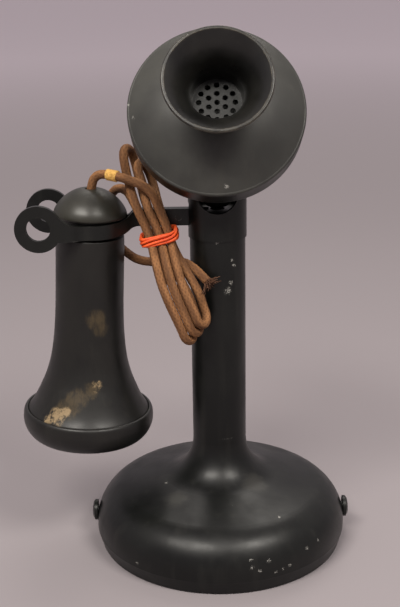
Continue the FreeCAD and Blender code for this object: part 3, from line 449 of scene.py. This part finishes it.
class Graph:
    """A material's nodes, with short ways to add the ones that are used most."""

    def __init__(self, name):
        self.material = bpy.data.materials.new(name)
        self.material.use_nodes = True
        self.tree = self.material.node_tree
        self.shader = self.tree.nodes["Principled BSDF"]
        self.place = self.add("ShaderNodeTexCoord").outputs["Object"]

    def add(self, kind, inputs=None, **settings):
        node = self.tree.nodes.new(kind)
        for key, value in settings.items():
            setattr(node, key, value)
        for key, value in (inputs or {}).items():
            self.put(node.inputs[key], value)
        return node

    def put(self, socket, value):
        if isinstance(value, bpy.types.NodeSocket):
            self.tree.links.new(value, socket)
        else:
            socket.default_value = value

    def noise(self, scale, detail=4.0, roughness=0.55, stretch=None):
        where = self.place
        if stretch:
            where = self.add("ShaderNodeMapping", {"Vector": where, "Scale": stretch}).outputs["Vector"]
        node = self.add("ShaderNodeTexNoise", {
            "Vector": where, "Scale": scale, "Detail": detail, "Roughness": roughness})
        return node.outputs["Fac"]

    def between(self, value, low, high, start=0.0, end=1.0):
        node = self.add("ShaderNodeMapRange", {
            "Value": value, "From Min": low, "From Max": high, "To Min": start, "To Max": end})
        node.interpolation_type = "SMOOTHSTEP"
        return node.outputs["Result"]

    def math(self, operation, first, second):
        node = self.add("ShaderNodeMath", {0: first, 1: second}, operation=operation, use_clamp=True)
        return node.outputs["Value"]

    def both(self, first, second):
        return self.math("MULTIPLY", first, second)

    def either(self, first, second):
        return self.math("MAXIMUM", first, second)

    def mix(self, share, first, second):
        node = self.add("ShaderNodeMix", data_type="RGBA")
        self.put(node.inputs["Factor"], share)
        self.put(node.inputs[6], first)
        self.put(node.inputs[7], second)
        return node.outputs[2]

    def edges(self, radius):
        """1 on sharp outer and inner edges, 0 on open surfaces."""
        bevel = self.add("ShaderNodeBevel", {"Radius": radius}, samples=EDGE_SAMPLES)
        normal = self.add("ShaderNodeNewGeometry").outputs["Normal"]
        dot = self.add("ShaderNodeVectorMath", {0: bevel.outputs["Normal"], 1: normal},
                       operation="DOT_PRODUCT")
        return self.between(dot.outputs["Value"], EDGE_FLAT, EDGE_SHARP)

    def patches(self, spots, grain, raggedness, edge, level=0.5):
        """Ragged patches round (place, radius) spots in millimetres.

        A wider edge is a softer patch, and a higher level a sparser one.
        """
        total = None
        for place, radius in spots:
            away = self.add("ShaderNodeVectorMath", {0: self.place, 1: Vector(place) * MM},
                            operation="DISTANCE")
            near = self.between(away.outputs["Value"], radius * MM, 0.0)
            total = near if total is None else self.either(total, near)
        rough = self.add("ShaderNodeMath", {0: grain, 1: raggedness, 2: total},
                         operation="MULTIPLY_ADD")
        middle = level + 0.5 * raggedness
        ragged = self.between(rough.outputs["Value"], middle - edge, middle + edge)
        return self.both(ragged, self.between(total, 0.0, PATCH_RIM))

    def finish(self, tint, roughness, bump=None, distance=0.2 * MM, strength=0.5,
               metallic=0.0, specular=0.5):
        self.put(self.shader.inputs["Base Color"], tint)
        self.put(self.shader.inputs["Roughness"], roughness)
        self.shader.inputs["Metallic"].default_value = metallic
        self.shader.inputs["Specular IOR Level"].default_value = specular
        if bump is not None:
            node = self.add("ShaderNodeBump", {
                "Height": bump, "Distance": distance, "Strength": strength})
            self.put(self.shader.inputs["Normal"], node.outputs["Normal"])
        return self.material


def colour(red, green, blue):
    return (red, green, blue, 1.0)


JAPAN_TONES = (colour(0.0026, 0.0030, 0.0028), colour(0.0066, 0.0072, 0.0064))
# The face's tones are lighter than the rest of the black japan: partly painted light, for the sheen on
# its up-tilted face.
FACE_TONES_WITH_PAINTED_SHEEN = (colour(0.031, 0.031, 0.028), colour(0.053, 0.053, 0.047))
DUST = colour(0.045, 0.044, 0.038)
CHIP = colour(0.29, 0.285, 0.26)
EBONITE_TONES = (colour(0.0040, 0.0039, 0.0035), colour(0.0105, 0.0100, 0.0082))
# The tail dome's lighter, greener tones are partly a painted highlight on its upturned top.
TAIL_TONES_WITH_PAINTED_HIGHLIGHT = (colour(0.011, 0.011, 0.009), colour(0.029, 0.028, 0.021))
EBONITE_STREAK = colour(0.030, 0.027, 0.021)
EBONITE_RUBBED = colour(0.085, 0.072, 0.050)
EBONITE_BROWN = colour(0.085, 0.060, 0.028)
EBONITE_TAN = colour(0.27, 0.195, 0.105)
MOUTHPIECE_TONES = (colour(0.0045, 0.0045, 0.0042), colour(0.0120, 0.0116, 0.0100))
# The pale lip colour is partly wear and partly a painted highlight.
MOUTHPIECE_LIP_WEAR_AND_HIGHLIGHT = colour(0.20, 0.175, 0.125)
BAND_TONES = (colour(0.86, 0.115, 0.022), colour(0.68, 0.070, 0.014))
CORD_TONES = (colour(0.280, 0.130, 0.051), colour(0.085, 0.036, 0.015))
FRAY_TONES = (colour(0.150, 0.070, 0.038), colour(0.055, 0.026, 0.016))
BINDING_TONES = (colour(0.80, 0.50, 0.14), colour(0.50, 0.28, 0.07))


def japanned(name, chips=(), dusty=(), tones=JAPAN_TONES, gloss=(0.30, 0.46), brushed=0.12):
    """Old black japan: satin, dusty in places, with fine scratches and pale chips."""
    graph = Graph(name)
    cloud = graph.between(graph.noise(18, 5, 0.6), 0.38, 0.68)
    body = graph.mix(cloud, *tones)
    scratches = graph.noise(150, 3, 0.5, stretch=(1, 1, 0.10))
    body = graph.mix(graph.between(scratches, 0.52, 0.74, 0, brushed), body, DUST)
    if dusty:
        grain = graph.noise(240, 6, 0.7, stretch=(0.4, 1, 1))
        smear = graph.patches(dusty, grain, raggedness=1.6, edge=0.45)
        body = graph.mix(graph.both(smear, 0.45), body, DUST)
    specks = graph.both(graph.between(graph.noise(900, 2, 0.5), 0.75, 0.79),
                        graph.between(graph.noise(35, 2, 0.5), 0.58, 0.66))
    worn_edge = graph.both(graph.edges(0.7 * MM), graph.between(graph.noise(260, 5, 0.7), 0.54, 0.68))
    bare = graph.either(graph.both(specks, 0.3), graph.both(worn_edge, 0.25))
    if chips:
        grain = graph.noise(1500, 3, 0.7)
        chipped = graph.patches(chips, grain, raggedness=6.0, edge=0.35, level=0.95)
        bare = graph.either(bare, chipped)
    surface = graph.mix(bare, body, CHIP)
    low, high = gloss
    rough = graph.between(graph.noise(60, 5, 0.6), 0.2, 0.8, low, high)
    return graph.finish(surface, rough, graph.noise(480, 4, 0.6), distance=0.12 * MM, strength=0.2,
                        specular=0.33)


def ebonite(name, tan=(), brown=(), tones=EBONITE_TONES):
    """Faded hard rubber: dark olive brown, dull, with tan worn patches and brown streaks."""
    graph = Graph(name)
    cloud = graph.between(graph.noise(26, 6, 0.62, stretch=(1, 1, 0.5)), 0.35, 0.70)
    body = graph.mix(cloud, *tones)
    streaks = graph.between(graph.noise(180, 4, 0.6, stretch=(1, 1, 0.1)), 0.55, 0.78, 0, 0.25)
    body = graph.mix(streaks, body, EBONITE_STREAK)
    rubbed = graph.both(graph.edges(0.9 * MM), graph.between(graph.noise(220, 5, 0.65), 0.45, 0.65))
    body = graph.mix(graph.both(rubbed, 0.4), body, EBONITE_RUBBED)
    if brown:
        grain = graph.noise(170, 6, 0.75, stretch=(1.6, 1.6, 0.5))
        smear = graph.patches(brown, grain, raggedness=5.0, edge=0.9)
        body = graph.mix(graph.both(smear, 0.6), body, EBONITE_BROWN)
    if tan:
        grain = graph.noise(190, 8, 0.8)
        worn = graph.patches(tan, grain, raggedness=7.0, edge=0.5, level=0.62)
        body = graph.mix(worn, body, EBONITE_TAN)
    rough = graph.between(graph.noise(75, 5, 0.6), 0.2, 0.8, 0.32, 0.50)
    return graph.finish(body, rough, graph.noise(520, 4, 0.6), distance=0.1 * MM, strength=0.22,
                        specular=0.42)


def mouthpiece_rubber():
    """Hard rubber, dark inside, with a pale lip: partly rubbed by use, partly a painted highlight."""
    graph = Graph("mouthpiece_rubber")
    cloud = graph.between(graph.noise(40, 5, 0.6), 0.35, 0.7)
    body = graph.mix(cloud, *MOUTHPIECE_TONES)
    # The pale lip on the edges: partly wear, partly a painted highlight.
    rubbed = graph.both(graph.edges(1.6 * MM), graph.between(graph.noise(200, 5, 0.7), 0.30, 0.62))
    body = graph.mix(graph.both(rubbed, 0.7), body, MOUTHPIECE_LIP_WEAR_AND_HIGHLIGHT)
    rough = graph.between(graph.noise(90, 5, 0.6), 0.2, 0.8, 0.26, 0.42)
    return graph.finish(body, rough, graph.noise(500, 4, 0.6), distance=0.1 * MM, strength=0.2,
                        specular=0.45)


def cotton(name, light, dark):
    """Braided cotton: painted shade darkens the braid's grooves, in lengthwise streaks of faded and
    deeper brown.
    """
    graph = Graph(name)
    strand = graph.add("ShaderNodeAttribute", attribute_name="braid").outputs["Fac"]
    faded = graph.add("ShaderNodeAttribute", attribute_name="streak").outputs["Fac"]
    body = graph.mix(graph.between(faded, 0.05, 0.95, 0.25, 1.0), dark, light)
    # Painted shade in the braid's grooves.
    body = graph.mix(graph.between(strand, 0.5, -0.3, 0.0, 0.45), body, dark)
    mottle = graph.between(graph.noise(120, 4, 0.6), 0.42, 0.72, 0, 0.5)
    body = graph.mix(mottle, body, dark)
    return graph.finish(body, 0.82, graph.noise(2600, 3, 0.6), distance=0.2 * MM, strength=0.45,
                        specular=0.3)


def thread(name, light, dark):
    """Loose or wound thread, mottled."""
    graph = Graph(name)
    mottle = graph.between(graph.noise(700, 4, 0.6), 0.35, 0.68)
    body = graph.mix(mottle, light, dark)
    return graph.finish(body, 0.7, graph.noise(2600, 3, 0.6), distance=0.2 * MM, strength=0.4,
                        specular=0.3)


def rubber_band():
    """Bright red-orange rubber."""
    graph = Graph("band_rubber")
    mottle = graph.between(graph.noise(380, 4, 0.6), 0.35, 0.7)
    body = graph.mix(mottle, *BAND_TONES)
    return graph.finish(body, 0.5, graph.noise(1500, 3, 0.6), distance=0.1 * MM, strength=0.3,
                        specular=0.35)


def plain_metal(name, tint, roughness):
    """Drawn metal, dulled in clouds."""
    graph = Graph(name)
    brushed = graph.noise(300, 4, 0.6, stretch=(1, 1, 8))
    rough = graph.between(brushed, 0.2, 0.8, roughness - 0.08, roughness + 0.12)
    dulled = colour(*[part * 0.5 for part in tint[:3]])
    surface = graph.mix(graph.between(graph.noise(45, 5, 0.6), 0.4, 0.7, 0, 0.5), tint, dulled)
    return graph.finish(surface, rough, brushed, distance=0.08 * MM, strength=0.15, metallic=1.0)


def soft_stuff(name, light, dark, grain):
    """Felt, rubber, board or wrapped wire, mottled at its own grain."""
    graph = Graph(name)
    mottle = graph.between(graph.noise(grain, 5, 0.65), 0.35, 0.68)
    body = graph.mix(mottle, light, dark)
    return graph.finish(body, 0.85, graph.noise(grain * 3, 4, 0.6), distance=0.3 * MM, strength=0.5)


# Wear: places on the surface and reach, in millimetres.

COLUMN_CHIPS = [
    ((5.0, -13.9, 149.1), 3.2), ((6.6, -13.2, 153.3), 2.2), ((7.2, -12.9, 165.7), 1.5),
    ((8.3, -12.3, 162.8), 1.8), ((-0.6, -14.8, 175.5), 1.5), ((-9.0, 11.6, 120.0), 2.4),
    ((12.0, 8.5, 90.0), 1.8)]
BASE_CHIPS = [
    ((14.5, -67.0, 19.6), 1.7), ((14.9, -68.2, 15.6), 1.9), ((23.9, -65.0, 17.6), 1.9),
    ((19.1, -67.5, 13.3), 1.7), ((27.6, -64.6, 10.8), 1.5), ((31.4, -62.8, 11.6), 1.4),
    ((35.2, -60.8, 12.5), 1.6), ((44.9, -52.7, 17.7), 1.9), ((51.4, -45.9, 18.5), 1.4),
    ((-45.5, -53.6, 10.8), 1.6), ((-30.4, -13.8, 37.4), 1.4), ((30.5, -44.5, 31.9), 1.2),
    ((-22.0, 66.6, 15.0), 2.2), ((58.0, 39.5, 12.0), 1.8)]
BASE_DUST = [((18.9, -20.4, 39.3), 12), ((-24.0, -30.0, 35.0), 11), ((6.0, 34.0, 35.0), 13)]
FACE_CHIPS = [
    ((-44.5, -12.0, 247.0), 1.6), ((-41.9, -16.9, 241.2), 1.6), ((4.0, -35.8, 209.6), 2.0)]
BELL_TAN = [
    ((-87.2, -26.8, 84.1), 7.2), ((-91.6, -26.0, 82.0), 5.0), ((-82.6, -26.9, 86.6), 4.6),
    ((-65.6, -22.5, 99.2), 4.6), ((-52.0, 27.0, 86.0), 5.0)]
BELL_BROWN = [
    ((-81.6, -26.6, 88.6), 8.5), ((-78.6, -26.0, 91.6), 8.5), ((-74.6, -25.4, 94.4), 7.5),
    ((-68.6, -23.6, 97.4), 6.5), ((-64.9, -17.8, 135.4), 7.5), ((-62.6, -17.1, 130.0), 6.0),
    ((-72.0, 19.0, 118.0), 8.0)]


# Plain looks by material slot: a material's name, its colours, and its roughness or grain.

METALS = {
    "bare_steel": ("bare_steel", colour(0.50, 0.50, 0.49), 0.38),
    "brass": ("brass", colour(0.62, 0.45, 0.18), 0.36),
    "iron": ("iron", colour(0.12, 0.12, 0.12), 0.6),
    "aluminium": ("aluminium", colour(0.70, 0.70, 0.71), 0.35)}
SOFT_STUFFS = {
    "felt": ("felt", colour(0.025, 0.035, 0.025), colour(0.012, 0.018, 0.012), 420),
    "insulator": ("insulator", colour(0.030, 0.022, 0.018), colour(0.018, 0.013, 0.010), 160),
    "gasket_rubber": ("gasket", colour(0.04, 0.036, 0.03), colour(0.02, 0.018, 0.015), 200),
    "coil_wire": ("coil_wire", colour(0.03, 0.11, 0.04), colour(0.015, 0.05, 0.02), 800)}
# A dark plate for the transmitter's diaphragm behind the grille: painted shade, in place of its
# aluminium.
DIAPHRAGM_PAINTED_SHADE = ("dark_plate", colour(0.035, 0.035, 0.034), 0.5)


def dress_nodes():
    """Materials for the solids that show: by node where one has its own, and otherwise by slot."""
    black = japanned("black_japan")
    slots = {
        "japanned_black": black, "grille_black": black, "mouthpiece_black": mouthpiece_rubber(),
        "ebonite": ebonite("faded_ebonite")}
    slots.update({slot: plain_metal(*look) for slot, look in METALS.items()})
    slots.update({slot: soft_stuff(*look) for slot, look in SOFT_STUFFS.items()})
    nodes = {
        "base_shell": japanned("black_japan_base", BASE_CHIPS, BASE_DUST),
        "column_tube": japanned("black_japan_column", COLUMN_CHIPS),
        # The face's lighter tones are partly painted light.
        "faceplate": japanned("black_japan_face", FACE_CHIPS, tones=FACE_TONES_WITH_PAINTED_SHEEN,
                              gloss=(0.40, 0.54), brushed=0.6),
        # The diaphragm gets a dark plate: painted shade.
        "transmitter_diaphragm": plain_metal(*DIAPHRAGM_PAINTED_SHADE)}
    for row in frame["record"]["subparts"]:
        node = frame["nodes"][row["node"]]
        material = nodes.get(row["node"]) or slots.get(row["material_slot"])
        if material:
            node.data.materials.clear()
            node.data.materials.append(material)


# Stage: a pale grey floor that runs to the horizon, with painted light that brightens it far off, soft
# boxes overhead and a dim sky.

# The floor is painted lighter with distance: painted light that stands in for a lit backdrop far off.
FLOOR_NEAR = colour(0.280, 0.253, 0.264)
FLOOR_FAR = colour(0.80, 0.73, 0.76)
FLOOR_PAINTED_LIGHT_SPAN = (0.7, 3.2)
FLOOR_REACH = 40.0
SKY = colour(0.80, 0.72, 0.75)
SKY_RANGE = {"From Min": 0.1, "From Max": 0.9, "To Min": 0.44, "To Max": 0.64}
LAMP = (1.0, 0.955, 0.88)
LAMP_TARGET = Vector((0, 0, 0.13))
SOFT_BOXES = [
    ("key", (-0.50, -0.78, 1.25), (0.80, 0.30), 17),
    ("fill", (0.60, -0.70, 1.20), (0.60, 0.30), 12),
    ("rim", (0.15, 0.90, 1.40), (1.0, 0.6), 7)]


def soft_box(name, place, size, energy):
    light = bpy.data.objects.new(name, bpy.data.lights.new(name, "AREA"))
    light.data.shape = "RECTANGLE"
    light.data.size, light.data.size_y = size
    light.data.energy = energy
    light.data.color = LAMP
    light.location = place
    light.rotation_euler = (LAMP_TARGET - Vector(place)).to_track_quat("-Z", "Y").to_euler()
    bpy.context.scene.collection.objects.link(light)


def make_floor():
    reach = FLOOR_REACH
    corners = [(-reach, -reach, 0), (reach, -reach, 0), (reach, reach, 0), (-reach, reach, 0)]
    floor = add_mesh("floor", corners, [(0, 1, 2, 3)])
    graph = Graph("floor")
    away = graph.add("ShaderNodeVectorMath", {0: graph.place}, operation="LENGTH").outputs["Value"]
    # Painted light: the floor's colour brightens with distance from the middle.
    tint = graph.mix(graph.between(away, *FLOOR_PAINTED_LIGHT_SPAN), FLOOR_NEAR, FLOOR_FAR)
    floor.data.materials.append(graph.finish(tint, 0.85, specular=0.2))


def make_sky():
    world = bpy.data.worlds.new("studio")
    world.use_nodes = True
    tree = world.node_tree
    direction = tree.nodes.new("ShaderNodeTexCoord").outputs["Generated"]
    height = tree.nodes.new("ShaderNodeSeparateXYZ")
    tree.links.new(direction, height.inputs["Vector"])
    strength = tree.nodes.new("ShaderNodeMapRange")
    for socket, value in SKY_RANGE.items():
        strength.inputs[socket].default_value = value
    tree.links.new(height.outputs["Z"], strength.inputs["Value"])
    background = tree.nodes["Background"]
    background.inputs["Color"].default_value = SKY
    tree.links.new(strength.outputs["Result"], background.inputs["Strength"])
    bpy.context.scene.world = world


def make_stage():
    make_floor()
    make_sky()
    for lamp in SOFT_BOXES:
        soft_box(*lamp)
    bpy.context.scene.view_settings.view_transform = "Standard"


make_camera()
handle, ear_cap, tail_dome = dress_receiver()
cord, binding, band, tuft = dress_cord()
dress_nodes()
handle.data.materials.append(ebonite("faded_ebonite_handle", BELL_TAN, BELL_BROWN))
ear_cap.data.materials.append(ebonite("faded_ebonite_cap"))
# The tail dome's lighter tones are partly a painted highlight.
tail_dome.data.materials.append(ebonite("faded_ebonite_tail_painted_highlight", tones=TAIL_TONES_WITH_PAINTED_HIGHLIGHT))
cord.data.materials.append(cotton("cord_cotton", *CORD_TONES))
tuft.data.materials.append(thread("cord_fray", *FRAY_TONES))
binding.data.materials.append(thread("binding_thread", *BINDING_TONES))
band.data.materials.append(rubber_band())
make_stage()
